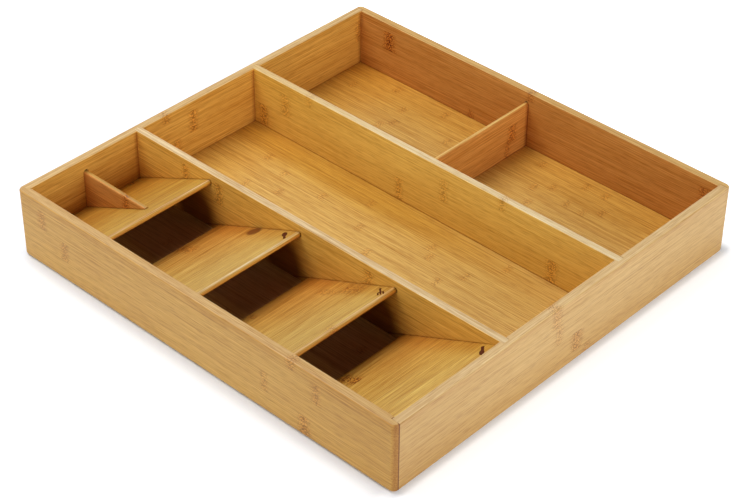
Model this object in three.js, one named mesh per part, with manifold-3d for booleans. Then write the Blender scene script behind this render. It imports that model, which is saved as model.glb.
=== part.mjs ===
// A bamboo drawer insert for cutlery: a tray with three columns that run from front to rear.
// The left column holds four sloped shelves that overlap like shingles, the middle one is a
// single long compartment, and a low board splits the right one in two.
// Millimetres, +X to the right, +Y to the rear, +Z up. The origin is the middle of the
// footprint, on the surface that the tray stands on.

import * as THREE from "three";
import { mergeVertices } from "three/addons/utils/BufferGeometryUtils.js";
import Module from "manifold-3d";

const wasm = await Module();
wasm.setup();

// Overall size of the tray
const trayLength = 400;
const trayWidth = 388.6;
const trayHeight = 63;

// Outer walls: thickness, and the radii that soften their edges
const wallThickness = 7.7;
const cornerRounding = 5;
const rimRounding = 2;
const footRounding = 3;
const innerRimEasing = 0.9;

// Bottom panel, let into a groove in all four walls
const panelRise = 6;
const panelThickness = 4;
const panelGrooveDepth = 3.6;

// The two long dividers, housed in the front and rear walls
const cutleryColumnWidth = 109.7;
const dividerThickness = 6.6;
const dividerEasing = 1.2;
const dividerHousingDepth = 3.9;

// The low board across the right column
const crossThickness = 4;
const crossDrop = 10;
const crossSetback = 1.7;
const crossEasing = 1.3;
const crossHousingDepth = 2.5;

// Sloped shelves, numbered from the rear: each runs up to a rounded nose over the next one's foot
const shelfCount = 4;
const shelfThickness = 4;
const shelfNoseRadius = 1.9;
const firstShelfRun = 85.1;
const footLead = 9.2;
const footClearance = 3.35;
const noseDrop = 6.2;
const frontNoseDrop = 4.2;
const shelfHousingDepth = 3;

// The small board that splits the rear cell, standing on the first shelf
const cellBoardThickness = 4;
const cellBoardDrop = 11.2;
const cellBoardEasing = 1.3;
const cellBoardTipHeight = 0.9;
const cellBoardHousingDepth = 2.5;

// Fits: the glue line round a housed board, the space past its end, and how far a routed
// groove runs on past the board's rounded edge
const glueGap = 0.2;
const endGap = 0.3;
const grooveOverrun = 1.2;

// How far a cutting tool passes the faces that it opens, and how finely arcs are stepped
const toolOverrun = 5;
const arcSteps = 6;

// Bevels on the outer edges stay inside the corner rounding by this share
const bevelLimitShare = 0.9;

// Colours of the oiled bamboo, one for each kind of piece
const bambooFinish = { roughness: 0.55, metalness: 0 };
const sideWallColour = 0xc79a5e;
const endWallColour = 0xd6b07b;
const panelColour = 0xc89652;
const dividerColour = 0xd2a468;
const thinBoardColour = 0xc08a44;
const shelfColour = 0xcf9f58;

// Planes that the pieces share
const halfLength = trayLength / 2;
const halfWidth = trayWidth / 2;
const frontInner = -halfLength + wallThickness;
const rearInner = halfLength - wallThickness;
const leftInner = -halfWidth + wallThickness;
const rightInner = halfWidth - wallThickness;
const panelTop = panelRise + panelThickness;
const leftDividerLeft = leftInner + cutleryColumnWidth;
const leftDividerRight = leftDividerLeft + dividerThickness;
const wideColumnWidth = (rightInner - leftDividerRight - dividerThickness) / 2;
const rightDividerLeft = leftDividerRight + wideColumnWidth;
const rightDividerRight = rightDividerLeft + dividerThickness;

// Frames that turn a flat outline's x, y and depth to the tray's axes
const axisX = new THREE.Vector3(1, 0, 0);
const axisY = new THREE.Vector3(0, 1, 0);
const axisZ = new THREE.Vector3(0, 0, 1);
const outlineFrames = {
  x: new THREE.Matrix4().makeBasis(axisY, axisZ, axisX),
  y: new THREE.Matrix4().makeBasis(axisX, axisZ, axisY.clone().negate()),
};

// An outline drawn in (y, z) and swept along X, or drawn in (x, z) and swept along Y
function sweep(outline, axis, start, end) {
  const depth = end - start;
  const options = { depth, bevelEnabled: false, curveSegments: arcSteps };
  const geometry = new THREE.ExtrudeGeometry(outline, options);
  geometry.applyMatrix4(outlineFrames[axis]);
  const points = geometry.getAttribute("position");
  const component = axis === "x" ? 0 : 1;
  for (let index = 0; index < points.count; index += 1) {
    const atFarEnd = Math.abs(points.getComponent(index, component)) > depth / 2;
    const atEnd = axis === "x" ? atFarEnd : !atFarEnd;
    points.setComponent(index, component, atEnd ? end : start);
  }
  return geometry;
}

// A closed geometry as a solid that can be cut
function solid(geometry) {
  const bare = geometry.clone();
  bare.deleteAttribute("normal");
  bare.deleteAttribute("uv");
  const merged = mergeVertices(bare);
  const mesh = new wasm.Mesh({
    numProp: 3,
    vertProperties: merged.getAttribute("position").array,
    triVerts: new Uint32Array(merged.getIndex().array),
  });
  return new wasm.Manifold(mesh);
}

function cut(body, tools) {
  return tools.reduce((rest, tool) => rest.subtract(tool), body);
}

function rectangle(left, bottom, right, top) {
  const outline = new THREE.Shape();
  outline.moveTo(left, bottom);
  outline.lineTo(right, bottom);
  outline.lineTo(right, top);
  outline.lineTo(left, top);
  outline.closePath();
  return outline;
}

// A straight-sided block between two corners
function block(left, front, bottom, right, rear, top) {
  return solid(sweep(rectangle(left, bottom, right, top), "y", front, rear));
}

// A board's upright section with both upper edges rounded
function easedSection(left, bottom, right, top, easing) {
  const outline = new THREE.Shape();
  outline.moveTo(left, bottom);
  outline.lineTo(right, bottom);
  outline.lineTo(right, top - easing);
  outline.absarc(right - easing, top - easing, easing, 0, Math.PI / 2, false);
  outline.lineTo(left + easing, top);
  outline.absarc(left + easing, top - easing, easing, Math.PI / 2, Math.PI, false);
  outline.closePath();
  return outline;
}

// What a rounding bit takes off a square upper edge: side is +1 or -1, the way the edge faces
function edgeWaste(edge, top, side, radius) {
  const centre = edge - side * radius;
  const facing = side > 0 ? 0 : Math.PI;
  const outline = new THREE.Shape();
  outline.moveTo(edge, top - radius);
  outline.lineTo(edge + side * toolOverrun, top - radius);
  outline.lineTo(edge + side * toolOverrun, top + toolOverrun);
  outline.lineTo(centre, top + toolOverrun);
  outline.lineTo(centre, top);
  outline.absarc(centre, top - radius, radius, Math.PI / 2, facing, side > 0);
  outline.closePath();
  return outline;
}

// An upright groove with a round upper end, as a straight bit leaves it
function uprightGroove(middle, halfBreadth, bottom, top) {
  const outline = new THREE.Shape();
  outline.moveTo(middle - halfBreadth, bottom);
  outline.lineTo(middle + halfBreadth, bottom);
  outline.lineTo(middle + halfBreadth, top - halfBreadth);
  outline.absarc(middle, top - halfBreadth, halfBreadth, 0, Math.PI, false);
  outline.closePath();
  return outline;
}

// The tray's outer form: a slab with rounded corners whose edges are rounded by one radius
function roundedSlab(edgeRadius, bottom, top) {
  const right = halfWidth - cornerRounding;
  const rear = halfLength - cornerRounding;
  const outline = new THREE.Shape();
  outline.absarc(right, rear, cornerRounding, 0, Math.PI / 2, false);
  outline.absarc(-right, rear, cornerRounding, Math.PI / 2, Math.PI, false);
  outline.absarc(-right, -rear, cornerRounding, Math.PI, Math.PI * 3 / 2, false);
  outline.absarc(right, -rear, cornerRounding, Math.PI * 3 / 2, Math.PI * 2, false);
  outline.closePath();
  const bevel = Math.min(edgeRadius, cornerRounding * bevelLimitShare);
  const geometry = new THREE.ExtrudeGeometry(outline, {
    depth: top - bottom - 2 * bevel,
    bevelThickness: bevel,
    bevelSize: bevel,
    bevelOffset: -bevel,
    bevelSegments: arcSteps,
    curveSegments: arcSteps,
  });
  geometry.translate(0, 0, bottom + bevel);
  return solid(geometry);
}

const roundedAtRim = roundedSlab(rimRounding, -trayHeight, trayHeight);
const roundedAtFoot = roundedSlab(footRounding, 0, trayHeight * 2);
const trayForm = roundedAtRim.intersect(roundedAtFoot);

// Where each sloped shelf lies: its foot's upper edge, its slope and its length up the slope
const innerLength = rearInner - frontInner;
const footHeight = panelTop + footClearance + shelfThickness;
const noseHeight = trayHeight - noseDrop;
const frontNoseHeight = trayHeight - frontNoseDrop;
const fullPitch = (innerLength - firstShelfRun) / (shelfCount - 1);
const frontSlope = Math.atan2(frontNoseHeight - footHeight, fullPitch - footLead);
const noseReach = shelfNoseRadius * (1 - Math.cos(frontSlope))
  + (shelfThickness - shelfNoseRadius) * Math.sin(frontSlope);
const frontNoseStandoff = noseReach + endGap;
const shelfPitch = fullPitch - frontNoseStandoff / (shelfCount - 1);

function noseAt(index) {
  return frontInner + frontNoseStandoff + shelfPitch * (shelfCount - 1 - index);
}

function shelfPlace(index) {
  const foot = index === 0 ? rearInner - glueGap : noseAt(index - 1) - footLead;
  const nose = noseAt(index);
  const top = index === shelfCount - 1 ? frontNoseHeight : noseHeight;
  const slope = Math.atan2(top - footHeight, foot - nose);
  const length = Math.hypot(top - footHeight, foot - nose);
  const place = new THREE.Object3D();
  place.position.set(0, foot, footHeight);
  place.rotation.x = -slope;
  place.updateMatrix();
  return { foot, slope, length, matrix: place.matrix, position: place.position, turn: -slope };
}

const shelfPlaces = Array.from({ length: shelfCount }, (unused, index) => shelfPlace(index));

// A shelf's section before it is tilted: the foot at y = 0, the nose towards -Y, its top at z = 0
function shelfSection(length) {
  const radius = Math.min(shelfNoseRadius, shelfThickness / 2);
  const noseCentre = -length + radius;
  const outline = new THREE.Shape();
  outline.moveTo(0, 0);
  outline.lineTo(noseCentre, 0);
  outline.absarc(noseCentre, -radius, radius, Math.PI / 2, Math.PI, false);
  outline.absarc(noseCentre, -shelfThickness + radius, radius, Math.PI, Math.PI * 3 / 2, false);
  outline.lineTo(0, -shelfThickness);
  outline.closePath();
  return outline;
}

// The slanted groove that houses a shelf's end: round at both ends, and a little longer
function shelfGrooveSection(length) {
  const halfBreadth = shelfThickness / 2 + glueGap;
  const middle = -shelfThickness / 2;
  const noseCentre = -length + shelfNoseRadius - grooveOverrun;
  const outline = new THREE.Shape();
  outline.moveTo(0, middle + halfBreadth);
  outline.lineTo(noseCentre, middle + halfBreadth);
  outline.absarc(noseCentre, middle, halfBreadth, Math.PI / 2, Math.PI * 3 / 2, false);
  outline.lineTo(0, middle - halfBreadth);
  outline.absarc(0, middle, halfBreadth, -Math.PI / 2, Math.PI / 2, false);
  return outline;
}

function shelfGrooves(start, end) {
  return shelfPlaces.map(({ length, matrix }) => {
    const groove = sweep(shelfGrooveSection(length), "x", start, end);
    groove.applyMatrix4(matrix);
    return solid(groove);
  });
}

// The low board across the right column, and the grooves for its ends
const crossMiddle = crossSetback;
const crossTop = trayHeight - crossDrop;

function crossGroove(start, end) {
  const halfBreadth = crossThickness / 2 + glueGap;
  const top = crossTop + grooveOverrun;
  return solid(sweep(uprightGroove(crossMiddle, halfBreadth, panelTop, top), "x", start, end));
}

function crossDivider() {
  const front = crossMiddle - crossThickness / 2;
  const rear = crossMiddle + crossThickness / 2;
  const section = easedSection(front, panelTop, rear, crossTop, crossEasing);
  const start = rightDividerRight - crossHousingDepth + endGap;
  const end = rightInner + crossHousingDepth - endGap;
  return solid(sweep(section, "x", start, end));
}

// The small board in the rear cell, and the groove in the rear wall for its end
const cellBoardMiddle = leftInner + cutleryColumnWidth / 2;
const cellBoardTop = trayHeight - cellBoardDrop;

function firstShelfTopAt(y) {
  const { foot, slope } = shelfPlaces[0];
  return footHeight + (foot - y) * Math.tan(slope);
}

function cellBoardGroove() {
  const halfBreadth = cellBoardThickness / 2 + glueGap;
  const top = cellBoardTop + grooveOverrun;
  const outline = uprightGroove(cellBoardMiddle, halfBreadth, panelTop, top);
  const depth = rearInner + cellBoardHousingDepth;
  return solid(sweep(outline, "y", rearInner - toolOverrun, depth));
}

// Its lower edge follows the slope that it stands on, down to a thin blunt tip in front
function cellDivider() {
  const rear = rearInner + cellBoardHousingDepth - endGap;
  const { foot, slope } = shelfPlaces[0];
  const tipBottom = cellBoardTop - cellBoardTipHeight;
  const tip = foot - (tipBottom - glueGap - footHeight) / Math.tan(slope);
  const outline = new THREE.Shape();
  outline.moveTo(rear, firstShelfTopAt(rear) + glueGap);
  outline.lineTo(rear, cellBoardTop);
  outline.lineTo(tip, cellBoardTop);
  outline.lineTo(tip, tipBottom);
  outline.closePath();
  const left = cellBoardMiddle - cellBoardThickness / 2;
  const right = cellBoardMiddle + cellBoardThickness / 2;
  const board = solid(sweep(outline, "x", left, right));
  const wastes = [
    edgeWaste(left, cellBoardTop, -1, cellBoardEasing),
    edgeWaste(right, cellBoardTop, 1, cellBoardEasing),
  ];
  const start = tip - toolOverrun;
  const end = rear + toolOverrun;
  return cut(board, wastes.map((waste) => solid(sweep(waste, "y", start, end))));
}

// Side walls run the full length and cover the ends of the front and rear walls
const panelGrooveTop = panelTop + glueGap;

function sideWall(side) {
  const inner = side * rightInner;
  const outer = side * (halfWidth + toolOverrun);
  const left = Math.min(inner, outer);
  const right = Math.max(inner, outer);
  const front = -halfLength - toolOverrun;
  const rear = halfLength + toolOverrun;
  const bottom = -toolOverrun;
  const top = trayHeight + toolOverrun;
  const board = trayForm.intersect(block(left, front, bottom, right, rear, top));
  const easing = sweep(edgeWaste(inner, trayHeight, -side, innerRimEasing), "y", frontInner, rearInner);
  const grooveOuter = inner + side * panelGrooveDepth;
  const grooveInner = inner - side * toolOverrun;
  const panelGroove = block(
    Math.min(grooveInner, grooveOuter),
    frontInner - panelGrooveDepth,
    panelRise,
    Math.max(grooveInner, grooveOuter),
    rearInner + panelGrooveDepth,
    panelGrooveTop,
  );
  return cut(board, [solid(easing), panelGroove]);
}

function leftSideWall() {
  const start = leftInner - shelfHousingDepth;
  const end = leftInner + toolOverrun;
  return cut(sideWall(-1), shelfGrooves(start, end));
}

function rightSideWall() {
  const start = rightInner - toolOverrun;
  const end = rightInner + crossHousingDepth;
  return cut(sideWall(1), [crossGroove(start, end)]);
}

// Front and rear walls fit between the side walls and house the ends of the long dividers
function endWall(side) {
  const inner = side * rearInner;
  const outer = side * (halfLength + toolOverrun);
  const front = Math.min(inner, outer);
  const rear = Math.max(inner, outer);
  const bottom = -toolOverrun;
  const top = trayHeight + toolOverrun;
  const board = trayForm.intersect(block(leftInner, front, bottom, rightInner, rear, top));
  const waste = edgeWaste(inner, trayHeight, -side, innerRimEasing);
  const easing = sweep(waste, "x", leftInner - toolOverrun, rightInner + toolOverrun);
  const near = inner - side * toolOverrun;
  const grooveEnd = inner + side * panelGrooveDepth;
  const panelGroove = block(
    leftInner - toolOverrun,
    Math.min(near, grooveEnd),
    panelRise,
    rightInner + toolOverrun,
    Math.max(near, grooveEnd),
    panelGrooveTop,
  );
  const housingEnd = inner + side * dividerHousingDepth;
  const housings = [leftDividerLeft, rightDividerLeft].map((dividerLeft) => block(
    dividerLeft - glueGap,
    Math.min(near, housingEnd),
    panelTop,
    dividerLeft + dividerThickness + glueGap,
    Math.max(near, housingEnd),
    top,
  ));
  return cut(board, [solid(easing), panelGroove, ...housings]);
}

function rearWall() {
  return cut(endWall(1), [cellBoardGroove()]);
}

// The panel lies loose in its grooves, short of their ends
function bottomPanel() {
  const reach = panelGrooveDepth - endGap;
  return block(
    leftInner - reach,
    frontInner - reach,
    panelRise,
    rightInner + reach,
    rearInner + reach,
    panelTop,
  );
}

function longDivider(left) {
  const section = easedSection(left, panelTop, left + dividerThickness, trayHeight, dividerEasing);
  const reach = dividerHousingDepth - endGap;
  return solid(sweep(section, "y", frontInner - reach, rearInner + reach));
}

function leftDivider() {
  const start = leftDividerLeft - toolOverrun;
  const end = leftDividerLeft + shelfHousingDepth;
  return cut(longDivider(leftDividerLeft), shelfGrooves(start, end));
}

function rightDivider() {
  const start = rightDividerRight - crossHousingDepth;
  const end = rightDividerRight + toolOverrun;
  return cut(longDivider(rightDividerLeft), [crossGroove(start, end)]);
}

// Named meshes, each with its own material
function named(name, geometry, color) {
  const material = new THREE.MeshStandardMaterial({ color, ...bambooFinish });
  const mesh = new THREE.Mesh(geometry, material);
  mesh.name = name;
  return mesh;
}

function namedSolid(name, body, color) {
  const { vertProperties, triVerts } = body.getMesh();
  const geometry = new THREE.BufferGeometry();
  geometry.setAttribute("position", new THREE.BufferAttribute(vertProperties, 3));
  geometry.setIndex(new THREE.BufferAttribute(triVerts, 1));
  geometry.computeVertexNormals();
  return named(name, geometry, color);
}

const carcass = new THREE.Group();
carcass.add(
  namedSolid("left_side_wall", leftSideWall(), sideWallColour),
  namedSolid("right_side_wall", rightSideWall(), sideWallColour),
  namedSolid("front_wall", endWall(-1), endWallColour),
  namedSolid("rear_wall", rearWall(), endWallColour),
  namedSolid("bottom_panel", bottomPanel(), panelColour),
);

const dividers = new THREE.Group();
dividers.add(
  namedSolid("left_divider", leftDivider(), dividerColour),
  namedSolid("right_divider", rightDivider(), dividerColour),
  namedSolid("cross_divider", crossDivider(), thinBoardColour),
  namedSolid("cell_divider", cellDivider(), thinBoardColour),
);

// The shelves stay as drawn, in their own frames, and are laid in place by a turn about X
const shelves = new THREE.Group();
shelfPlaces.forEach(({ length, position, turn }, index) => {
  const start = leftInner - shelfHousingDepth + endGap;
  const end = leftDividerLeft + shelfHousingDepth - endGap;
  const board = sweep(shelfSection(length), "x", start, end);
  const shelf = named(`sloped_shelf_${index + 1}`, board, shelfColour);
  shelf.position.copy(position);
  shelf.rotation.x = turn;
  shelves.add(shelf);
});

const tray = new THREE.Group();
tray.add(carcass, dividers, shelves);

export default tray;
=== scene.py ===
"""A bamboo cutlery tray for a drawer, seen from above its front left corner.

Every board is modelled again as the joiner makes it: sawn to size, its edges rounded, its grooves
cut, and two of the sloped shelves and the front one marked with a small burned pictogram. Lengths
are in metres, +X to the right, +Y to the rear and +Z up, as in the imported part.
"""

import math

import bmesh
import bpy
from mathutils import Matrix, Vector


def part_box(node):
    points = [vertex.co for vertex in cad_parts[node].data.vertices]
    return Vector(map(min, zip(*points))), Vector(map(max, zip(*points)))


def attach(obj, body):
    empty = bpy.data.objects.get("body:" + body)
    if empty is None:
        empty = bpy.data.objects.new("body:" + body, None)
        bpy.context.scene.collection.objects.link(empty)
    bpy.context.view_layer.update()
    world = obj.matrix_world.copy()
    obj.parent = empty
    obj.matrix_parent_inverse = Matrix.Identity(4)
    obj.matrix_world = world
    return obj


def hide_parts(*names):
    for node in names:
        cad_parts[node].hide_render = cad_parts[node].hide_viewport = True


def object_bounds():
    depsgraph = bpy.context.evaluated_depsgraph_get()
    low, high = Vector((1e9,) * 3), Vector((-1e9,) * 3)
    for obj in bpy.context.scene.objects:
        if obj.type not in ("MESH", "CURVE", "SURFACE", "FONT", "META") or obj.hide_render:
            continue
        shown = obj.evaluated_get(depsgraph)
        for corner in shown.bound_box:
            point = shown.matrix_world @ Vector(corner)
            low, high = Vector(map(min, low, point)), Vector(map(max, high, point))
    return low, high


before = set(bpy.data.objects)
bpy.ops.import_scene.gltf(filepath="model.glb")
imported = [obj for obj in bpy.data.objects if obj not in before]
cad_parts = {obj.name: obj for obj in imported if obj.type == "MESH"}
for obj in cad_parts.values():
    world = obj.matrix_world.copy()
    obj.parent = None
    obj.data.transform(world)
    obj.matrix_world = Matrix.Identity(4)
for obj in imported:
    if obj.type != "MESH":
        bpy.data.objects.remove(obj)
cad_low, cad_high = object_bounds()

MM = 0.001
AXIS_X = Vector((1, 0, 0))
AXIS_Y = Vector((0, 1, 0))
AXIS_Z = Vector((0, 0, 1))

# Roundings of the edges, and how many facets each has
CORNER_ROUNDING = 4.8 * MM
RIM_ROUNDING = 1.3 * MM
FOOT_ROUNDING = 3 * MM
INNER_RIM_EASING = 0.7 * MM
DIVIDER_EASING = 0.6 * MM
THIN_BOARD_EASING = 1.6 * MM
NOSE_TOP_ROUNDING = 2.9 * MM
NOSE_UNDERSIDE_EASING = 1.0 * MM
SEAM_ARRIS = 0.35 * MM
WIDE_FACETS = 10
FINE_FACETS = 6
ARRIS_FACETS = 2

# Joints: the glue line round a housed board, the tight fit of the long dividers and the corners,
# the room past a board's end, how far a groove runs on above a board and in front of a nose, and
# how far the end walls lap into the side walls
GLUE_GAP = 0.2 * MM
TIGHT_GAP = 0.05 * MM
END_GAP = 0.3 * MM
GROOVE_OVERRUN = 1.2 * MM
NOSE_NOTCH = 1.3 * MM
CORNER_LAP = 2.9 * MM

# How far a cutter sticks out of the wood, how near two points count as level, how flat a face
# needs to be to stay whole, and the angle up to which a rounded edge is shaded as round
TOOL_OVERRUN = 5 * MM
TOUCH = 0.01 * MM
FLAT_ENOUGH = math.radians(0.05)
SMOOTHED_ANGLE = math.radians(35)

# Planes and sizes that the boards share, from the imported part
left_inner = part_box("left_side_wall")[1].x
right_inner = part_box("right_side_wall")[0].x
rear_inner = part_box("rear_wall")[0].y
panel_low, panel_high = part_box("bottom_panel")
rim = cad_high.z


# Modelling by hand: small steps on the active board


def activate(thing):
    bpy.ops.object.select_all(action="DESELECT")
    thing.select_set(True)
    bpy.context.view_layer.objects.active = thing


def sawn_board(name, low, high):
    """A square-edged board between two corners, with its place in its mesh."""
    low, high = Vector(low), Vector(high)
    bpy.ops.object.select_all(action="DESELECT")
    bpy.ops.mesh.primitive_cube_add(size=1, location=(low + high) / 2, scale=high - low)
    thing = bpy.context.object
    thing.name = name
    bpy.ops.object.transform_apply(location=True, rotation=True, scale=True)
    return thing


def near(a, b):
    return abs(a - b) < TOUCH


def ordered(a, b):
    """The lowest and highest corners of the box between two opposite corners."""
    return Vector(map(min, a, b)), Vector(map(max, a, b))


def round_edges(thing, wanted, radius, facets):
    """Rounds the edges whose two ends wanted(start, end) accepts, and splits the faces that this
    leaves slightly twisted, which no cut would go through cleanly."""
    activate(thing)
    bpy.ops.object.mode_set(mode="EDIT")
    bpy.ops.mesh.select_mode(type="EDGE")
    bpy.ops.mesh.select_all(action="DESELECT")
    shape = bmesh.from_edit_mesh(thing.data)
    for edge in shape.edges:
        edge.select_set(wanted(edge.verts[0].co, edge.verts[1].co))
    bmesh.update_edit_mesh(thing.data)
    bpy.ops.mesh.bevel(offset=radius, segments=facets, profile=0.5, affect="EDGES")
    bpy.ops.mesh.select_all(action="SELECT")
    bpy.ops.mesh.vert_connect_nonplanar(angle_limit=FLAT_ENOUGH)
    bpy.ops.object.mode_set(mode="OBJECT")


def cut(thing, cutter):
    """Takes the cutter's form out of the board. A cutter with a finish leaves it on the cut."""
    activate(thing)
    modifier = thing.modifiers.new("cut", "BOOLEAN")
    modifier.operation = "DIFFERENCE"
    modifier.solver = "EXACT"
    modifier.material_mode = "TRANSFER" if cutter.data.materials else "INDEX"
    modifier.object = cutter
    bpy.ops.object.modifier_apply(modifier=modifier.name)
    bpy.data.objects.remove(cutter)


def lay(thing, matrix):
    """Lays a board that was drawn flat at the origin in its place."""
    activate(thing)
    thing.matrix_world = matrix
    bpy.ops.object.transform_apply(location=True, rotation=True, scale=True)


def smooth(thing):
    """Smooth rounded edges between faces that stay flat."""
    activate(thing)
    bpy.ops.object.shade_smooth_by_angle(angle=SMOOTHED_ANGLE)
    modifier = thing.modifiers.new("flat faces", "WEIGHTED_NORMAL")
    modifier.keep_sharp = True
    bpy.ops.object.modifier_apply(modifier=modifier.name)


# Materials


def linear(hex_colour):
    """An sRGB hex colour as the linear RGBA that a shader takes."""
    channels = [int(hex_colour[i : i + 2], 16) / 255 for i in (1, 3, 5)]
    return [c / 12.92 if c <= 0.04045 else ((c + 0.055) / 1.055) ** 2.4 for c in channels] + [1]


def add(tree, kind, inputs=None, **settings):
    """Adds a node, sets its settings, and links or sets its inputs."""
    node = tree.nodes.new(kind)
    for name, value in settings.items():
        setattr(node, name, value)
    inputs = inputs or {}
    for key, value in inputs.items() if isinstance(inputs, dict) else enumerate(inputs):
        if isinstance(value, bpy.types.NodeSocket):
            tree.links.new(value, node.inputs[key])
        else:
            node.inputs[key].default_value = value
    return node


def number(tree, operation, *inputs):
    """A number worked out from one to three others."""
    return add(tree, "ShaderNodeMath", inputs, operation=operation).outputs[0]


def vector(tree, operation, *inputs):
    """A vector worked out from others, or their dot product or length."""
    node = add(tree, "ShaderNodeVectorMath", inputs, operation=operation)
    return node.outputs["Value" if operation in ("DOT_PRODUCT", "LENGTH") else "Vector"]


def ramp(tree, value, begins, ends, low, high, curve="LINEAR"):
    """low as far as begins, high from ends on, and what lies between in between."""
    return add(tree, "ShaderNodeMapRange", [value, begins, ends, low, high],
               interpolation_type=curve).outputs[0]


def tinted(tree, amount, colour, tint, blend="MULTIPLY", clamp=False):
    """A colour with some of a tint in it."""
    return add(tree, "ShaderNodeMixRGB", [amount, colour, linear(tint)], blend_type=blend,
               use_clamp=clamp).outputs[0]


def new_material(name):
    material = bpy.data.materials.new(name)
    material.use_nodes = True
    material.node_tree.nodes.clear()
    return material, material.node_tree


# Bamboo is a grass: long straight fibres, no rings, and a knuckle across each strip where the
# stem had a joint. Strips are glued edge to edge into boards, and the boards are sanded and oiled.
# To the eye that is a warm gold with a low satin sheen, streaked along the grain with finer and
# darker fibres. The deeper tones inside the tray, in corners and under shelves are painted shade.
# All lengths here are in mm. Real fibre bundles are 0.3 to 0.6 mm wide, too fine to show, so the
# fibres, hairs and pores are drawn two to three times as wide, and shorter to match. A weight is
# how much of a pattern goes into the shade.
FIBRE_WIDTH, FIBRE_LENGTH, FIBRE_WEIGHT = 0.9, 110.0, 1.0
HAIR_WIDTH, HAIR_LENGTH, HAIR_WEIGHT = 0.7, 42.0, 1.2
STREAK_WIDTH, STREAK_LENGTH, STREAK_WEIGHT = 4.0, 260.0, 0.06
CLOUD_WIDTH, CLOUD_LENGTH, CLOUD_WEIGHT = 26.0, 90.0, 0.12
STRIP_WEIGHT = 0.06
STRIP_SHIFT = (900, 70, 70)
SEED_STEP = 17

# The pores, where fibre bundles end, which are deeper on end grain, and faint brown flecks. An
# edge here is how far from its middle a mark starts to fade, and where it has gone.
PORE_WIDTH, PORE_LENGTH, PORE_EDGE = 1.2, 13.0, (0.1, 0.45)
PORE_DEPTH, END_GRAIN_EXTRA, END_GRAIN_TURN = 0.32, 0.1, (0.5, 0.9)
FLECK_WIDTH, FLECK_LENGTH, FLECK_EDGE, FLECK_DEPTH = 6.0, 60.0, (0.05, 0.2), 0.14

# A knuckle's ragged outline, its core and fade as parts of its reach, how much paler it is, and
# the dark grit in it
KNUCKLE_WAVE, WAVE_SCALE = 7.0, (0.12, 0.3, 0.3)
KNUCKLE_CORE, KNUCKLE_FADE, KNUCKLE_LIFT = 0.2, 1.3, 0.32
GRIT_SIZE, GRIT_STRETCH, GRIT_EDGE = 1.2, 0.7, (0.35, 0.7)

# How wide and dark a glue line is, over what height a crease ends, and how far a face has to look
# its way for a crease to begin and to be full
GLUE_LINE, GLUE_DEPTH = 0.35, 0.3
CREASE_FADE, CREASE_TURN = 0.8, (0.5, 0.7)

# The oiled surface: its roughness, which follows the fibres, its sheen, and how deep its relief is
FIBRE_RANGE, ROUGHNESS = (0.3, 0.7), (0.38, 0.52)
SHEEN = 0.35
PORE_RELIEF, RELIEF_STRENGTH, RELIEF_DEPTH = -0.5, 0.3, 0.05 * MM

# How far a shade goes from the middle tone, per colour channel: deep bamboo is redder
TONE_SWING = (0.55, 0.9, 1.5)
PORE_TINT = "#B0823A"
GLUE_TINT = "#A0703A"
FLECK_TINT = "#B88848"
KNUCKLE_TINT = "#F4E0BE"
GRIT_TINT = "#94643A"
CREASE_TINT = "#C8A88C"


def grain_frame(along, across, origin):
    """The turn and shift that bring a board's grain to X and its strips' width to Y, in mm."""
    turn = Matrix((along, across, along.cross(across)))
    return turn.to_euler(), -(turn @ (origin / MM))


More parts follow.
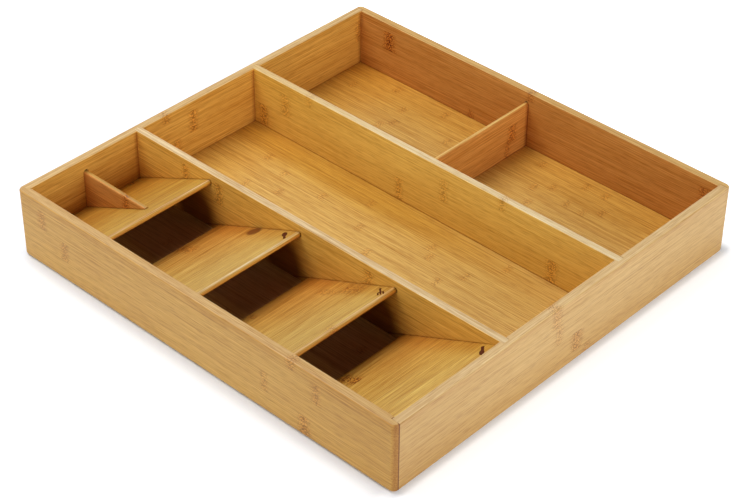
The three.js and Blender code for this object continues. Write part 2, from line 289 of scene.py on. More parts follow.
def bamboo(name, seed, grain, strips, tone, facings=(), figure=1.0, knuckles=(), shade_and_stain_pools=(),
           creases=()):
    """One board's bamboo.

    grain is its direction, its strips' direction and a point on the board. strips is their first
    edge and width, and the strips that are paler or deeper than the rest, by number. tone is its
    colour, and facings are directions, each with how far a face has to look that way for the
    colour to begin and to be full, and the colour: mostly painted light and shade on tops, inside
    faces, noses and undersides, and the end grain's own darker colour. figure is how lively its
    fibres are. Each knuckle is its place along and across the grain, its reach along the grain
    and its strength.
    Pools are mostly painted shade, in corners, under shelves, at feet and towards some ends,
    with a few real stains such as a knot or a seam: the middle and reach of each, how much of it
    takes the full tint, and the tint it adds. Creases are the thin dark lines where another board
    meets this one, widened at some corners into painted shade: the direction that each is
    measured in, its place, half its width where it is full and where it ends, the height it stops
    at, and the way that the faces look that it is on, or None for all."""
    material, tree = new_material(name)
    along, across, origin = grain
    turn, shift = grain_frame(along, across, origin)
    place = add(tree, "ShaderNodeTexCoord")
    spot, normal = place.outputs["Object"], place.outputs["Normal"]
    grained = add(tree, "ShaderNodeMapping", {
        "Vector": spot, "Location": shift, "Rotation": turn, "Scale": [1 / MM] * 3,
    }).outputs["Vector"]
    axes = add(tree, "ShaderNodeSeparateXYZ", [grained])
    along_mm, across_mm = axes.outputs["X"], axes.outputs["Y"]

    # Which strip a point is on, and that strip's own shade and its own run of fibres
    first_edge, width, own_shades = strips
    counted = number(tree, "MULTIPLY_ADD", across_mm, 1 / width, -first_edge / width)
    strip_number = number(tree, "FLOOR", counted)
    lot_number = number(tree, "ADD", strip_number, seed * SEED_STEP + 0.5)
    lot = add(tree, "ShaderNodeTexWhiteNoise", {"W": lot_number}, noise_dimensions="1D")
    own_shift = vector(tree, "MULTIPLY", lot.outputs["Color"], STRIP_SHIFT)
    own_place = vector(tree, "ADD", grained, own_shift)

    def drawn_out(kind, length, width, output, **inputs):
        """A pattern whose marks are long in the grain and narrow across it."""
        squeezed = vector(tree, "MULTIPLY", own_place, (1 / length, 1 / width, 1 / width))
        return add(tree, kind, {"Vector": squeezed, "Scale": 1.0, **inputs}).outputs[output]

    def streaked(length, width, detail, rough):
        return drawn_out("ShaderNodeTexNoise", length, width, "Fac", Detail=detail, Roughness=rough)

    fibres = streaked(FIBRE_LENGTH, FIBRE_WIDTH, 2.0, 0.6)
    hairs = streaked(HAIR_LENGTH, HAIR_WIDTH, 1.0, 0.5)
    streaks = streaked(STREAK_LENGTH, STREAK_WIDTH, 2.0, 0.5)
    clouds = streaked(CLOUD_LENGTH, CLOUD_WIDTH, 1.0, 0.5)
    pores = drawn_out("ShaderNodeTexVoronoi", PORE_LENGTH, PORE_WIDTH, "Distance")
    flecks = drawn_out("ShaderNodeTexVoronoi", FLECK_LENGTH, FLECK_WIDTH, "Distance")

    # Its tone, which differs between faces: painted light and shade on tops, inside faces, noses
    # and undersides, and the end grain's own darker colour
    colour = linear(tone)
    for looking, begins, full, its_tone in facings:
        facing = vector(tree, "DOT_PRODUCT", normal, looking)
        turned = ramp(tree, facing, begins, full, 0.0, 1.0)
        colour = tinted(tree, turned, colour, its_tone, blend="MIX")
    # Pools of painted shade, and a few real stains such as a knot or a seam
    for middle, reach, core, tint in shade_and_stain_pools:
        inside = add(tree, "ShaderNodeMapping", {
            "Vector": spot,
            "Location": [-at / r if r else 0 for at, r in zip(middle, reach)],
            "Scale": [1 / r / MM if r else 0 for r in reach],
        }).outputs["Vector"]
        inside = vector(tree, "LENGTH", inside)
        shade_or_stain = ramp(tree, inside, core, 1.0, 1.0, 0.0, curve="SMOOTHSTEP")
        colour = tinted(tree, shade_or_stain, colour, tint)
    # Creases: dark joint lines, widened at some corners into painted shade
    height_mm = vector(tree, "DOT_PRODUCT", spot, AXIS_Z / MM)
    for direction, at, full, reach, top, looking in creases:
        off = vector(tree, "DOT_PRODUCT", spot, direction / MM)
        off = number(tree, "ABSOLUTE", number(tree, "SUBTRACT", off, at))
        creased = ramp(tree, off, full, reach, 1.0, 0.0)
        under = ramp(tree, height_mm, top - CREASE_FADE, top, 1.0, 0.0)
        creased = number(tree, "MULTIPLY", creased, under)
        if looking:
            facing = vector(tree, "DOT_PRODUCT", normal, looking)
            turned = ramp(tree, facing, *CREASE_TURN, 0.0, 1.0)
            creased = number(tree, "MULTIPLY", creased, turned)
        colour = tinted(tree, creased, colour, CREASE_TINT)

    # Its shade: the strips' own, and the patterns in the grain
    shade = 0.0
    for strip, own_shade in own_shades:
        on_strip = number(tree, "COMPARE", strip_number, strip, 0.5)
        shade = number(tree, "MULTIPLY_ADD", on_strip, own_shade, shade)
    for pattern, weight in (
        (lot.outputs["Value"], STRIP_WEIGHT), (streaks, STREAK_WEIGHT), (clouds, CLOUD_WEIGHT),
        (fibres, FIBRE_WEIGHT), (hairs, HAIR_WEIGHT),
    ):
        centred = number(tree, "SUBTRACT", pattern, 0.5)
        shade = number(tree, "MULTIPLY_ADD", centred, weight, shade)
    swing = vector(tree, "MULTIPLY_ADD", shade, [figure * s for s in TONE_SWING], (1, 1, 1))
    colour = vector(tree, "MULTIPLY", colour, swing)

    # Knuckles: ragged mottled bands, each across one strip
    wave_place = vector(tree, "MULTIPLY", grained, WAVE_SCALE)
    wave = add(tree, "ShaderNodeTexNoise", {
        "Vector": wave_place, "Scale": 1.0, "Detail": 2.0,
    }).outputs["Fac"]
    waved = number(tree, "MULTIPLY_ADD", wave, KNUCKLE_WAVE, along_mm)
    knuckled = 0.0
    for at_along, at_across, reach, strength in knuckles:
        strip = math.floor((at_across - first_edge) / width)
        off = number(tree, "SUBTRACT", waved, at_along + KNUCKLE_WAVE / 2)
        off = number(tree, "ABSOLUTE", off)
        band = ramp(tree, off, reach * KNUCKLE_CORE, reach * KNUCKLE_FADE, strength, 0.0)
        on_strip = number(tree, "COMPARE", strip_number, strip, 0.5)
        knuckled = number(tree, "MULTIPLY_ADD", band, on_strip, knuckled)
    grit_scale = (GRIT_STRETCH / GRIT_SIZE, 1 / GRIT_SIZE, 1 / GRIT_SIZE)
    grit_place = vector(tree, "MULTIPLY", grained, grit_scale)
    grit = add(tree, "ShaderNodeTexVoronoi", {
        "Vector": grit_place, "Scale": 1.0,
    }).outputs["Distance"]
    grains = ramp(tree, grit, *GRIT_EDGE, 0.0, 1.0)
    gritty = number(tree, "MULTIPLY", grains, knuckled)

    # The ends of the fibre bundles: dashes on a face, dots on end grain
    on_end = number(tree, "ABSOLUTE", vector(tree, "DOT_PRODUCT", normal, along))
    on_end = ramp(tree, on_end, *END_GRAIN_TURN, 0.0, 1.0)
    pored = ramp(tree, pores, *PORE_EDGE, 1.0, 0.0)
    pore_depth = number(tree, "MULTIPLY_ADD", on_end, END_GRAIN_EXTRA, PORE_DEPTH)
    pore_shade = number(tree, "MULTIPLY", pored, pore_depth)
    fleck_shade = ramp(tree, flecks, *FLECK_EDGE, FLECK_DEPTH, 0.0)

    # The glue line on each side of a strip
    from_middle = number(tree, "SUBTRACT", number(tree, "FRACT", counted), 0.5)
    from_middle = number(tree, "ABSOLUTE", from_middle)
    line = GLUE_LINE / width
    glue_shade = ramp(tree, from_middle, 0.5 - line, 0.5 - line / 3, 0.0, GLUE_DEPTH)

    paler = number(tree, "SUBTRACT", knuckled, gritty)
    paler = number(tree, "MULTIPLY_ADD", paler, KNUCKLE_LIFT, 1.0)
    colour = vector(tree, "MULTIPLY", colour, paler)
    for amount, tint in (
        (pore_shade, PORE_TINT), (fleck_shade, FLECK_TINT),
        (glue_shade, GLUE_TINT), (knuckled, KNUCKLE_TINT), (gritty, GRIT_TINT),
    ):
        colour = tinted(tree, amount, colour, tint, clamp=True)

    height = number(tree, "MULTIPLY_ADD", pored, PORE_RELIEF, fibres)
    bump = add(tree, "ShaderNodeBump", {
        "Height": height, "Strength": RELIEF_STRENGTH, "Distance": RELIEF_DEPTH,
    })
    surface = add(tree, "ShaderNodeBsdfPrincipled", {
        "Base Color": colour, "Roughness": ramp(tree, fibres, *FIBRE_RANGE, *ROUGHNESS),
        "Specular IOR Level": SHEEN, "Normal": bump.outputs["Normal"],
    })
    add(tree, "ShaderNodeOutputMaterial", {"Surface": surface.outputs["BSDF"]})
    return material


# The marks' two browns, how the soot is drawn out along the grain, and its dull surface
CHAR_TINT, SCORCH_TINT = "#35150A", "#6A3214"
SOOT_SCALE, SOOT_RANGE = (300, 1500, 1500), (0.3, 0.7)
CHAR_ROUGHNESS, CHAR_SHEEN = (0.7, 0.9), 0.1


def burned_bamboo():
    """Where the marks were burned in: to the eye nearly black brown and matt, with the fibres
    still showing as a paler scorch."""
    material, tree = new_material("burned_bamboo")
    squeezed = add(tree, "ShaderNodeMapping", {
        "Vector": add(tree, "ShaderNodeTexCoord").outputs["Object"], "Scale": SOOT_SCALE,
    })
    soot = add(tree, "ShaderNodeTexNoise", {
        "Vector": squeezed.outputs[0], "Scale": 1.0, "Detail": 2.0,
    }).outputs[0]
    surface = add(tree, "ShaderNodeBsdfPrincipled", {
        "Base Color": tinted(tree, soot, linear(CHAR_TINT), SCORCH_TINT, blend="MIX"),
        "Roughness": ramp(tree, soot, *SOOT_RANGE, *CHAR_ROUGHNESS),
        "Specular IOR Level": CHAR_SHEEN,
    })
    add(tree, "ShaderNodeOutputMaterial", {"Surface": surface.outputs["BSDF"]})
    return material


# Boards


def dress(thing, node, material):
    """The finished board stands for its CAD node and takes its finish."""
    if thing.data.materials:
        thing.data.materials[0] = material
    else:
        thing.data.materials.append(material)
    smooth(thing)
    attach(thing, "root")
    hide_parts(node)


def shelf_frame(node):
    """A shelf's foot, the turn that lays it on its slope, its length and its thickness, measured
    on its solid. In its own frame the foot is at the origin, up the slope is -Y, and its top is
    the plane Z = 0."""
    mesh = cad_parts[node].data
    top = max((face for face in mesh.polygons if face.normal.z > 0), key=lambda face: face.area)
    points = [vertex.co for vertex in mesh.vertices]
    foot = max(points, key=lambda point: (point.y, point.z))
    turn = Matrix.Rotation(-math.atan2(top.normal.y, top.normal.z), 4, "X")
    origin = Vector((0, foot.y, foot.z))
    flat = [turn.inverted() @ (point - origin) for point in points]
    length = -min(point.y for point in flat)
    thickness = -min(point.z for point in flat)
    low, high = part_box(node)
    return {
        "matrix": Matrix.Translation(origin) @ turn,
        "origin": origin,
        "length": length,
        "thickness": thickness,
        "left": low.x,
        "right": high.x,
    }


SHELVES = [f"sloped_shelf_{place}" for place in (1, 2, 3, 4)]
shelf_frames = {node: shelf_frame(node) for node in SHELVES}


def shelf_groove(node, left, right):
    """The slanted round-ended groove that a shelf's end sits in."""
    place = shelf_frames[node]
    half = place["thickness"] / 2 + GLUE_GAP
    middle = -place["thickness"] / 2
    low = (left, -place["length"] - NOSE_NOTCH, middle - half)
    high = (right, half, middle + half)
    groove = sawn_board("shelf_groove", low, high)
    round_edges(groove, lambda a, b: near(a.y, b.y) and near(a.z, b.z), half - TOUCH, WIDE_FACETS)
    lay(groove, place["matrix"])
    return groove


def upright_groove(low, high, middle_axis, top):
    """A groove for a board's end, with the round upper end that the bit leaves."""
    half = (high[middle_axis] - low[middle_axis]) / 2 + GLUE_GAP
    low, high = low.copy(), high.copy()
    low[middle_axis] -= GLUE_GAP
    high[middle_axis] += GLUE_GAP
    high.z = top + GROOVE_OVERRUN
    groove = sawn_board("upright_groove", low, high)

    def upper(a, b):
        return near(a.z, high.z) and near(b.z, high.z) and near(a[middle_axis], b[middle_axis])

    round_edges(groove, upper, half - TOUCH, WIDE_FACETS)
    return groove


def panel_groove():
    """The space for the bottom panel and its groove, as one slab."""
    low = panel_low.copy()
    high = panel_high.copy()
    low.x -= END_GAP
    low.y -= END_GAP
    high.x += END_GAP
    high.y += END_GAP
    high.z += GLUE_GAP
    return sawn_board("panel_groove", low, high)


def side_wall(node, side):
    """A full-length wall, lapped at both ends for the end walls and rounded at the corners."""
    low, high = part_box(node)
    inner = high.x if side < 0 else low.x
    outer = low.x if side < 0 else high.x
    lap = inner + side * CORNER_LAP
    wall = sawn_board(f"{node}_board", low, high)

    def outer_corner(a, b):
        return near(a.x, outer) and near(b.x, outer) and near(a.y, b.y)

    def outer_edge_at(height):
        def test(a, b):
            level = near(a.z, height) and near(b.z, height)
            return level and not (near(a.x, inner) and near(b.x, inner))
        return test

    def inner_rim(a, b):
        return all(near(p.x, inner) and near(p.z, rim) for p in (a, b))

    def seam(a, b):
        on_lap = all(near(p.x, lap) for p in (a, b))
        on_end = on_lap and all(near(abs(p.y), high.y) for p in (a, b))
        on_rim = all(near(p.z, rim) for p in (a, b))
        along_wall = all(near(abs(p.y), rear_inner) for p in (a, b))
        return on_end or (on_rim and (on_lap or along_wall))

    round_edges(wall, outer_corner, CORNER_ROUNDING, WIDE_FACETS)
    round_edges(wall, outer_edge_at(high.z), RIM_ROUNDING, FINE_FACETS)
    round_edges(wall, outer_edge_at(low.z), FOOT_ROUNDING, FINE_FACETS)
    for end in (-1, 1):
        near_corner = Vector((inner - side * TOOL_OVERRUN, end * rear_inner, low.z - TOOL_OVERRUN))
        far_corner = Vector((lap, end * (high.y + TOOL_OVERRUN), high.z + TOOL_OVERRUN))
        cut(wall, sawn_board("corner_lap", *ordered(near_corner, far_corner)))
    round_edges(wall, seam, SEAM_ARRIS, ARRIS_FACETS)
    round_edges(wall, inner_rim, INNER_RIM_EASING, FINE_FACETS)
    cut(wall, panel_groove())
    return wall


def left_side_wall():
    wall = side_wall("left_side_wall", -1)
    for node in SHELVES:
        left = shelf_frames[node]["left"] - END_GAP
        cut(wall, shelf_groove(node, left, left_inner + TOOL_OVERRUN))
    return wall


def right_side_wall():
    wall = side_wall("right_side_wall", 1)
    low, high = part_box("cross_divider")
    low.x = right_inner - TOOL_OVERRUN
    high.x += END_GAP
    cut(wall, upright_groove(low, high, 1, high.z))
    return wall


def end_wall(node, side):
    """A wall between the side walls, whose ends lap into theirs."""
    low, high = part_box(node)
    low.x -= CORNER_LAP - TIGHT_GAP
    high.x += CORNER_LAP - TIGHT_GAP
    inner = high.y if side < 0 else low.y
    outer = low.y if side < 0 else high.y
    wall = sawn_board(f"{node}_board", low, high)

    def long_edge(y, z):
        return lambda a, b: all(near(p.y, y) and near(p.z, z) for p in (a, b))

    round_edges(wall, long_edge(outer, high.z), RIM_ROUNDING, FINE_FACETS)
    round_edges(wall, long_edge(outer, low.z), FOOT_ROUNDING, FINE_FACETS)
    round_edges(wall, long_edge(inner, high.z), INNER_RIM_EASING, FINE_FACETS)
    for end in (low.x, high.x):
        round_edges(wall, lambda a, b: near(a.x, end) and near(b.x, end), SEAM_ARRIS, ARRIS_FACETS)
    cut(wall, panel_groove())
    for divider in ("left_divider", "right_divider"):
        housing_low, housing_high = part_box(divider)
        housing_low -= Vector((TIGHT_GAP, TIGHT_GAP, 0))
        housing_high += Vector((TIGHT_GAP, TIGHT_GAP, TOOL_OVERRUN))
        cut(wall, sawn_board("housing", housing_low, housing_high))
    return wall


def rear_wall():
    wall = end_wall("rear_wall", 1)
    low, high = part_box("cell_divider")
    low.y = rear_inner - TOOL_OVERRUN
    low.z = panel_high.z
    high.y += END_GAP
    cut(wall, upright_groove(low, high, 0, high.z))
    return wall


def plain_board(node, easing):
    """A board whose two long upper edges are rounded."""
    low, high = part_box(node)
    thing = sawn_board(f"{node}_board", low, high)
    long_axis = 0 if high.x - low.x > high.y - low.y else 1

    def upper(a, b):
        return near(a.z, high.z) and near(b.z, high.z) and not near(a[long_axis], b[long_axis])

    if easing:
        round_edges(thing, upper, easing, FINE_FACETS)
    return thing


def left_divider():
    divider = plain_board("left_divider", DIVIDER_EASING)
    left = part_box("left_divider")[0].x
    for node in SHELVES:
        right = shelf_frames[node]["right"] + END_GAP
        cut(divider, shelf_groove(node, left - TOOL_OVERRUN, right))
    return divider


def right_divider():
    divider = plain_board("right_divider", DIVIDER_EASING)
    low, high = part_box("cross_divider")
    low.x -= END_GAP
    high.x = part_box("right_divider")[1].x + TOOL_OVERRUN
    cut(divider, upright_groove(low, high, 1, high.z))
    return divider


def cell_divider():
    """Cut from a square board: the lower edge follows the first shelf's slope."""
    thing = plain_board("cell_divider", THIN_BOARD_EASING)
    place = shelf_frames["sloped_shelf_1"]
    up = place["matrix"].to_3x3() @ AXIS_Z
    above = place["origin"] + GLUE_GAP * up
    activate(thing)
    bpy.ops.object.mode_set(mode="EDIT")
    bpy.ops.mesh.select_all(action="SELECT")
    bpy.ops.mesh.bisect(plane_co=above, plane_no=up, clear_inner=True, use_fill=True)
    bpy.ops.object.mode_set(mode="OBJECT")
    return thing


# The burned marks: a spoon, a fork and a knife of simple shapes. Each piece is round or square,
# with its middle and size along and across the mark in mm, counted from the head's end.
BURN_DEPTH = 0.15 * MM
ROUND_FACETS = 32
SPOON = (
    ("round", (4.6, 0), (9.2, 4.6)), ("square", (10.6, 0), (4.6, 2.0)),
    ("round", (13.0, 0), (2.6, 2.6)),
)
FORK = (
    ("square", (2.0, -2.1), (4.0, 1.2)), ("square", (2.0, 0), (4.0, 1.2)),
    ("square", (2.0, 2.1), (4.0, 1.2)), ("square", (4.4, 0), (1.6, 5.4)),
    ("square", (8.0, 0), (6.6, 1.4)), ("round", (11.4, 0), (2.6, 2.4)),
)
KNIFE = (
    ("round", (4.6, 0.3), (9.2, 4.0)), ("square", (10.8, 0), (6.4, 2.4)),
    ("round", (13.8, 0), (2.8, 2.8)),
)


def burn(thing, mark, head, turn, finish):
    """Burns a mark into a shelf that lies flat, from its head at (right, up the slope)."""
    base = Vector((head[0], -head[1], 0)) * MM
    spin = Matrix.Rotation(turn, 3, "Z")
    for form, (along, across), (length, width) in mark:
        middle = base + spin @ Vector((along, across, 0)) * MM
        bpy.ops.object.select_all(action="DESELECT")
        if form == "round":
            bpy.ops.mesh.primitive_cylinder_add(vertices=ROUND_FACETS, radius=0.5, depth=1)
        else:
            bpy.ops.mesh.primitive_cube_add(size=1)
        piece = bpy.context.object
        piece.location = middle
        piece.rotation_euler.z = turn
        piece.scale = (length * MM, width * MM, 2 * BURN_DEPTH)
        bpy.ops.object.transform_apply(location=True, rotation=True, scale=True)
        piece.data.materials.append(finish)
        cut(thing, piece)


def shelf(node, mark=None):
    """A thin shelf with a bull nose, drawn flat, marked, and then laid on its slope."""
    place = shelf_frames[node]
    low = (place["left"], -place["length"], -place["thickness"])
    high = (place["right"], 0, 0)
    thing = sawn_board(f"{node}_board", low, high)

    def nose(height):
        return lambda a, b: all(near(p.y, low[1]) and near(p.z, height) for p in (a, b))

    round_edges(thing, nose(high[2]), NOSE_TOP_ROUNDING, WIDE_FACETS)
    round_edges(thing, nose(low[2]), NOSE_UNDERSIDE_EASING, FINE_FACETS)
    if mark:
        thing.data.materials.append(None)
        burn(thing, *mark, burned)
    lay(thing, place["matrix"])
    return thing


# How each board is laid up: its colours, and where its strips and knuckles are, in mm. Outside and
# on the rims the tone is paler, and inside the tray deeper and golden, as painted light and shade.
ORIGIN = Vector((0, 0, 0))
UPRIGHT_ALONG_Y = (AXIS_Y, AXIS_Z, ORIGIN)
UPRIGHT_ALONG_X = (AXIS_X, AXIS_Z, ORIGIN)
FLAT_ALONG_Y = (AXIS_Y, AXIS_X, ORIGIN)

PANEL_KNUCKLES = [
    (145, 25), (132, -17), (118, 18), (103, -5), (73, 13), (37, 37), (22, 5), (-5, -15), (-38, 28),
    (-45, 18), (-70, -5), (-82, 13), (-100, 42), (-155, 36), (172, 151), (137, 177), (112, 158),
    (112, 129), (105, 139), (80, 171), (52, 142), (-28, 178), (-43, 145), (-53, 129), (-55, 157),
    (-75, 172), (-78, 142), (-95, 143), (-95, 174), (-107, 151), (118, -120), (20, -150),
    (-85, -110),
]

# Painted shade on a shelf's underside and on its nose's lower edge, the darker end grain of the
# wall ends, the dark seam at the front corner, and the way the top of a nose looks where its
# painted highlight is
UNDERSIDE_SHADE = "#6B4420"
NOSE_EDGE_SHADE = "#C28428"
WALL_END_TONE = "#AA7838"
SEAM_TINT = "#A07850"
FRONT_TOP = Vector((0, -0.17, 0.985))

# How far a face has to look a way for that way's colour to begin and to be full
BROAD = (0.35, 0.75)
RIM = (0.5, 0.9)
THIN_RIM = (0.75, 0.95)
WALL_END = (0.2, 0.7)
NOSE_EDGE = (0.55, 0.8)
NOSE_HIGHLIGHT = (0.92, 0.985)

# The dark joint lines along the panel and in the corners, as bamboo() takes them. In the corners
# they fade out wide, as painted shade.
PANEL_LINE = (AXIS_Z, 10.2, 0.2, 1.1, 63)
RIGHT_CORNER = (AXIS_X, 186.6, 0.1, 4.0, 62)
LEFT_DIVIDER_ENDS = (AXIS_X, -73.6, 3.3, 7.5, 62, -AXIS_Y)
RIGHT_DIVIDER_ENDS = (AXIS_X, 58.15, 3.3, 7.5, 62, -AXIS_Y)
CELL_DIVIDER_END = (AXIS_X, -131.75, 2.1, 3.1, 52, -AXIS_Y)
CROSS_DIVIDER_END = (AXIS_Y, 1.7, 2.1, 3.1, 53, -AXIS_X)
NOSES = (107.2, 7.8, -91.6)


def shelf_line(node, looking=None):
    """The line on a divider along a shelf's top, which stops at the nose."""
    place = shelf_frames[node]
    up = place["matrix"].to_3x3() @ AXIS_Z
    return (up, up.dot(place["origin"]) / MM, 0.1, 1.1, 57, looking)


burned = burned_bamboo()

BOARDS = {
    "left_side_wall": dict(
        make=left_side_wall, slot="side_wall_bamboo", grain=UPRIGHT_ALONG_Y,
        strips=(1, 18, ((3, -0.06),)), figure=0.85,
        tone="#D7A553", facings=(
            (AXIS_X, *BROAD, "#C98C3A"), (AXIS_Z, *RIM, "#CBA76E"),
            (-AXIS_Y, *WALL_END, WALL_END_TONE), (AXIS_Y, *WALL_END, WALL_END_TONE),
        ),
        knuckles=[
            (172, 46, 5, 0.4), (147, 28, 5, 0.4), (-73, 28, 4, 0.35), (-125, 46, 5, 0.4),
            (-113, 10, 6, 0.6), (-100, 59, 5, 0.4),
        ],
        shade_and_stain_pools=[
            # Painted shade towards the front end and along the rim, and the dark seam at the front
            # corner
            ((0, -200, 0), (None, 170, None), 0.0, "#FBF7EC"),
            ((0, 0, 63), (None, None, 9), 0.2, "#FCF8F1"),
            ((-189.9, -200, 0), (0.8, 3, None), 0.2, SEAM_TINT),
        ]),
    "right_side_wall": dict(
        make=right_side_wall, slot="side_wall_bamboo", grain=UPRIGHT_ALONG_Y,
        strips=(0, 18.3, ()), figure=1.1,
        tone="#D6A860", facings=(
            (-AXIS_X, *BROAD, "#C88940"), (AXIS_Z, *RIM, "#CCA15B"),
            (-AXIS_Y, *WALL_END, "#D8B47E"), (AXIS_Y, *WALL_END, "#A8783A"),
        ),
        knuckles=[(158, 45, 7, 1.1), (62, 15, 4, 0.5), (-2, 59, 4, 0.5), (-180, 45, 5, 0.7)],
        creases=[(*PANEL_LINE, -AXIS_X), CROSS_DIVIDER_END]),
    "front_wall": dict(
        make=lambda: end_wall("front_wall", -1), slot="end_wall_bamboo", grain=UPRIGHT_ALONG_X,
        strips=(10.4, 17.6, ((-1, -0.05),)), figure=0.7,
        tone="#D0A96B", facings=((AXIS_Y, *BROAD, "#CE9340"), (AXIS_Z, *RIM, "#E8C990")),
        knuckles=[(-21, 54, 6, 0.45), (-17, 36, 5, 0.35), (5, 19, 7, 0.6), (18, 5, 4, 0.35)],
        shade_and_stain_pools=[
            # Painted shade: warmer towards the bottom, darker along the rim and towards the left
            # end
            ((0, 0, 0), (None, None, 42), 0.0, "#F9F1DD"),
            ((0, 0, 63), (None, None, 12), 0.2, "#FAF6F2"),
            ((-194, 0, 0), (150, None, None), 0.0, "#F3F0ED"),
        ]),
    "rear_wall": dict(
        make=rear_wall, slot="end_wall_bamboo", grain=UPRIGHT_ALONG_X, strips=(12.5, 21, ()),
        figure=1.1,
        tone="#DAB47A", facings=((-AXIS_Y, *BROAD, "#D69F45"), (AXIS_Z, *RIM, "#CAA46A")),
        knuckles=[
            (-45, 58, 5, 0.5), (-16, 44, 5, 0.6), (-35, 27, 5, 0.5), (10, 12, 4, 0.4),
            (183, 45, 4, 0.5), (62, 16, 4, 0.4),
        ],
        # Painted shade towards the bottom of the rear wall in the left column
        shade_and_stain_pools=[((-135, 192.3, 14), (75, 6, 45), 0.0, "#EDE0D6")],
        creases=[
            (*PANEL_LINE, -AXIS_Y), LEFT_DIVIDER_ENDS, RIGHT_DIVIDER_ENDS,
            (*RIGHT_CORNER, -AXIS_Y), CELL_DIVIDER_END,
        ]),
    "bottom_panel": dict(
        make=lambda: plain_board("bottom_panel", 0), slot="panel_bamboo", grain=FLAT_ALONG_Y,
        strips=(0, 10, ((12, -0.05), (13, -0.06))), figure=1.1, tone="#D0A454",
        knuckles=[(y, x, 3.8, 0.35) for y, x in PANEL_KNUCKLES],
        # Painted warm shade beside the right divider, painted shade along the rear and right walls,
        # and deeper painted shade under the shelves
        shade_and_stain_pools=[
            ((44, 70, 0), (34, 250, None), 0.2, "#ECDDA0"),
            ((0, 192, 0), (None, 90, None), 0.1, "#FBF0D0"),
            ((190, 0, 0), (90, None, None), 0.1, "#FCEDC4"),
            ((-118, 0, 0), (47, None, None), 0.4, "#E6D4E6"),
            ((-104, 0, 0), (34, None, None), 0.75, "#E8DAE8"),
        ]),
    "left_divider": dict(
        make=left_divider, slot="divider_bamboo", grain=UPRIGHT_ALONG_Y, strips=(17.5, 20, ()),
        figure=1.1, tone="#EAB550", facings=((AXIS_Z, *RIM, "#D4B584"),),
        knuckles=[(97, 47, 6, 0.55), (135, 56, 5, 0.6), (-65, 56, 6, 0.5)],
        shade_and_stain_pools=[
            # Painted shade in the notch in front of each nose, and under each shelf
            *(((-76.9, nose - 0.6, 54.5), (5, 2.5, 3), 0.4, "#6C4A30") for nose in NOSES),
            *(((-76.9, nose + 18, 17), (5, 27, 34), 0.5, "#94766C") for nose in NOSES),
        ],
        creases=[shelf_line(node, -AXIS_X) for node in SHELVES]),
    "right_divider": dict(
        make=right_divider, slot="divider_bamboo", grain=UPRIGHT_ALONG_Y,
        strips=(10, 21.3, ((0, -0.08), (1, 0.03))), figure=0.7,
        tone="#ECC15C", facings=((AXIS_Z, *RIM, "#DCC190"),),
        knuckles=[
            (182, 20, 6, 0.6), (155, 40, 6, 0.4), (127, 58, 5, 0.25), (25, 20, 5, 0.45),
            (-23, 42, 5, 0.4), (-83, 58, 4, 0.4), (-135, 20, 6, 0.6),
        ],
        # Painted shade, deepest at the top of its rear end
        shade_and_stain_pools=[((55, 192, 63), (20, 180, 42), 0.0, "#F6EDD4")],
        creases=[(*PANEL_LINE, None)]),
    "cross_divider": dict(
        make=lambda: plain_board("cross_divider", THIN_BOARD_EASING), slot="thin_board_bamboo",
        grain=UPRIGHT_ALONG_X, strips=(9, 15.5, ()), figure=1.2,
        tone="#D49144", facings=((AXIS_Z, *THIN_RIM, "#D2A457"),),
        knuckles=[(167, 30, 6, 0.8), (162, 20, 4, 0.5)],
        creases=[(*PANEL_LINE, None), (*RIGHT_CORNER, None)]),
    "cell_divider": dict(
        make=cell_divider, slot="thin_board_bamboo", grain=UPRIGHT_ALONG_Y, strips=(16, 18, ()),
        figure=1.2, tone="#D9984D", facings=((AXIS_Z, *THIN_RIM, "#BC9040"),),
        knuckles=[(143, 46, 5, 0.8)],
        creases=[shelf_line("sloped_shelf_1")]),
}

# The shelves share a layout: painted shade deepens the foot, the nose's lower edge and the
# underside, and a painted highlight makes the top of the nose pale. A spot is one more pool, such
# as painted shade in a corner or the knot on the second shelf, and a mark is its form, where its
# head is, and how it is turned.
SHELF_FIGURE = 1.5
# Painted shade that deepens each shelf towards its foot
FOOT_SHADE_MIDDLE, FOOT_SHADE_REACH = -95, (130, 90, None)
# Painted shade at a shelf's right end, in the corner by the divider
RIGHT_END_SHADE = ((-78, 0, 0), (22, None, None), 0.2, "#EFE0C2")
SHELF_BOARDS = {
    "sloped_shelf_1": dict(
        tone="#BB903B", nose="#C89E63", foot="#EACC96", strips=(-12, 20, ()),
        knuckles=[(-88, 2, 4, 0.8)], spot=((-186, 165, 0), (60, 55, None), 0.4, "#F4E6DA")),
    "sloped_shelf_2": dict(
        tone="#C69F4F", nose="#D1B380", foot="#FFD2A6", strips=(0, 21, ()),
        knuckles=[(-121, 9, 7, 0.6)], spot=((-82.9, 51.6, 0), (8, 7.2, None), 0.55, "#9C7C62"),
        mark=(SPOON, (-80, 84.7), math.radians(227))),
    "sloped_shelf_3": dict(
        tone="#C59E4D", nose="#C89E61", foot="#FFD2A6", strips=(-8, 20, ()),
        knuckles=[(-87, 62, 9, 0.5), (-95, 38, 5, 0.4), (-143, 96, 5, 0.4), (-143, 3, 5, 0.5)],
        mark=(FORK, (-89, 95), math.radians(47))),
    "sloped_shelf_4": dict(
        tone="#CBA048", nose="#C89E61", foot="#FADCC8", strips=(2, 20, ()),
        knuckles=[(-146, 11, 6.5, 0.9)], mark=(KNIFE, (-92, 97), math.radians(40))),
}

for seed, (node, board) in enumerate(BOARDS.items()):
    make, slot = board.pop("make"), board.pop("slot")
    dress(make(), node, bamboo(f"oiled_bamboo_{node}", seed, **board))

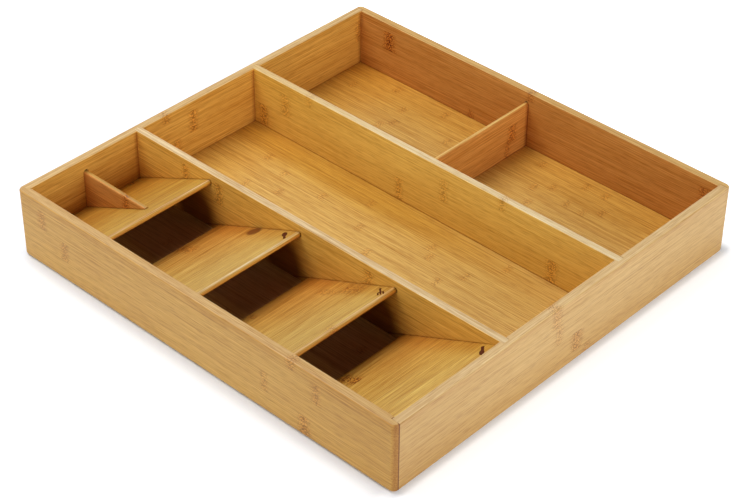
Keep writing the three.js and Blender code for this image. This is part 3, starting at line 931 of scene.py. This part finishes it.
for seed, (node, board) in enumerate(SHELF_BOARDS.items(), len(BOARDS)):
    place = shelf_frames[node]
    mark, spot = board.pop("mark", None), board.pop("spot", None)
    # The painted shade at a shelf's foot and the painted highlight on its nose
    foot, nose = board.pop("foot"), board.pop("nose")
    grain = (AXIS_X, -(place["matrix"].to_3x3() @ AXIS_Y), place["origin"])
    facings = (
        (-AXIS_Z, *BROAD, UNDERSIDE_SHADE), (FRONT_TOP, *NOSE_HIGHLIGHT, nose),
        (-AXIS_Y, *NOSE_EDGE, NOSE_EDGE_SHADE),
    )
    shade_and_stain_pools = [((FOOT_SHADE_MIDDLE, place["origin"].y / MM, 0), FOOT_SHADE_REACH, 0.0, foot)]
    if node != "sloped_shelf_1":
        shade_and_stain_pools.append(RIGHT_END_SHADE)
    if spot:
        shade_and_stain_pools.append(spot)
    finish = bamboo(f"oiled_bamboo_{node}", seed, grain, facings=facings, figure=SHELF_FIGURE,
                    shade_and_stain_pools=shade_and_stain_pools, **board)
    dress(shelf(node, mark), node, finish)

# The view: where the lens stood, which ways the picture's right and down point, and the lens and
# its film, in mm
CAMERA_PLACE = Vector((-0.9616, -0.8891, 0.9943))
CAMERA_RIGHT = Vector((0.68357, -0.72984, 0.00856))
CAMERA_DOWN = Vector((-0.43634, -0.41801, -0.79679))
CAMERA_LENS = 98.9
CAMERA_FILM = 36

camera = bpy.data.objects.new("camera", bpy.data.cameras.new("camera"))
bpy.context.collection.objects.link(camera)
turn = Matrix((CAMERA_RIGHT, -CAMERA_DOWN, -CAMERA_RIGHT.cross(CAMERA_DOWN))).transposed()
camera.matrix_world = Matrix.Translation(CAMERA_PLACE) @ turn.to_4x4()
camera.data.lens = CAMERA_LENS
camera.data.sensor_width = CAMERA_FILM
bpy.context.scene.camera = camera

# A white paper floor that keeps the tray's shadow: to the eye it is matt and has no edge. To the
# camera and in gloss it also glows, less near the tray, and more on the sides that its shadow
# falls on and towards the horizon.
FLOOR_SIZE = 30
FLOOR_HEIGHT = -0.05 * MM
PAPER = (0.76, 0.79, 0.84, 1)
WHITE = (1, 1, 1, 1)
NEAR_GLOW, FAR_GLOW, GLOW_REACH = 0.1, 0.3, 16 * MM
SHADED_NEAR_GLOW, SHADED_FAR_GLOW, SHADED_REACH = 0.36, 0.68, 8 * MM
SHADED_IN_FRONT = (-0.19, -0.205)
SHADED_ON_RIGHT = (0.19, 0.205)
HORIZON, HORIZON_GLOW = (0.3, 3.0), 0.5


def looked_at(tree):
    """1 where the camera, gloss or glass looks, and 0 for the light that reaches the tray."""
    rays = add(tree, "ShaderNodeLightPath")
    seen = number(tree, "MAXIMUM", rays.outputs["Is Camera Ray"], rays.outputs["Is Glossy Ray"])
    return number(tree, "MAXIMUM", seen, rays.outputs["Is Transmission Ray"])


bpy.ops.mesh.primitive_plane_add(size=FLOOR_SIZE, location=(0, 0, FLOOR_HEIGHT))
floor = bpy.context.object
floor.name = "floor"
paper, tree = new_material("white_paper_floor")
spot = add(tree, "ShaderNodeTexCoord").outputs["Object"]
split = add(tree, "ShaderNodeSeparateXYZ", [spot])
in_front = ramp(tree, split.outputs["Y"], *SHADED_IN_FRONT, 0.0, 1.0)
on_right = ramp(tree, split.outputs["X"], *SHADED_ON_RIGHT, 0.0, 1.0)
shaded = number(tree, "MAXIMUM", in_front, on_right)
reach = vector(tree, "ABSOLUTE", spot)
reach = vector(tree, "SUBTRACT", reach, (cad_high.x, cad_high.y, 0))
reach = vector(tree, "LENGTH", vector(tree, "MAXIMUM", reach, (0, 0, 0)))
lit_side = ramp(tree, reach, 0.0, GLOW_REACH, NEAR_GLOW, FAR_GLOW, curve="SMOOTHSTEP")
shaded_side = ramp(tree, reach, 0.0, SHADED_REACH, SHADED_NEAR_GLOW, SHADED_FAR_GLOW,
                   curve="SMOOTHSTEP")
whiter = ramp(tree, shaded, 0.0, 1.0, lit_side, shaded_side)
whiter = number(tree, "ADD", whiter, ramp(tree, reach, *HORIZON, 0.0, HORIZON_GLOW))
matt = add(tree, "ShaderNodeBsdfDiffuse", {"Color": PAPER})
glow = add(tree, "ShaderNodeEmission", {"Color": WHITE, "Strength": whiter})
lit = add(tree, "ShaderNodeAddShader", [matt.outputs[0], glow.outputs[0]])
seen = add(tree, "ShaderNodeMixShader", [looked_at(tree), matt.outputs[0], lit.outputs[0]])
add(tree, "ShaderNodeOutputMaterial", {"Surface": seen.outputs[0]})
floor.data.materials.append(paper)

# A dim white room that is brighter behind the tray, a softbox overhead, behind it and to the left,
# and two low cards that light the outer faces but don't reach under the shelves
ROOM = 0.1
REAR_WALL = 0.6
REAR_DIRECTION = (0.585, 0.541, 0.604)
REAR_FALLOFF = 6.0
BACKDROP = 1.0

world = bpy.data.worlds.new("white_room")
bpy.context.scene.world = world
world.use_nodes = True
tree = world.node_tree
tree.nodes.clear()
look = add(tree, "ShaderNodeTexCoord").outputs["Generated"]
rearward = number(tree, "MAXIMUM", vector(tree, "DOT_PRODUCT", look, REAR_DIRECTION), 0.0)
rearward = number(tree, "POWER", rearward, REAR_FALLOFF)
bright = number(tree, "MULTIPLY_ADD", rearward, REAR_WALL, ROOM)
room = add(tree, "ShaderNodeBackground", {"Color": WHITE, "Strength": bright})
backdrop = add(tree, "ShaderNodeBackground", {"Color": WHITE, "Strength": BACKDROP})
shown = add(tree, "ShaderNodeMixShader", [looked_at(tree), room.outputs[0], backdrop.outputs[0]])
add(tree, "ShaderNodeOutputWorld", {"Surface": shown.outputs[0]})


def soft_light(name, place, size, power):
    """A square light that faces the tray."""
    bpy.ops.object.light_add(type="AREA", location=place)
    lamp = bpy.context.object
    lamp.name = name
    lamp.data.shape = "SQUARE"
    lamp.data.size = size
    lamp.data.energy = power
    lamp.rotation_euler = (-lamp.location).to_track_quat("-Z", "Y").to_euler()


soft_light("overhead_softbox", (-0.25, 0.6, 1.4), 1.0, 20)
soft_light("low_front_card", (-0.1, -2.2, 0.5), 1.0, 30)
soft_light("low_left_card", (-2.2, 0.1, 0.5), 1.0, 10)

bpy.context.scene.view_settings.view_transform = "Standard"
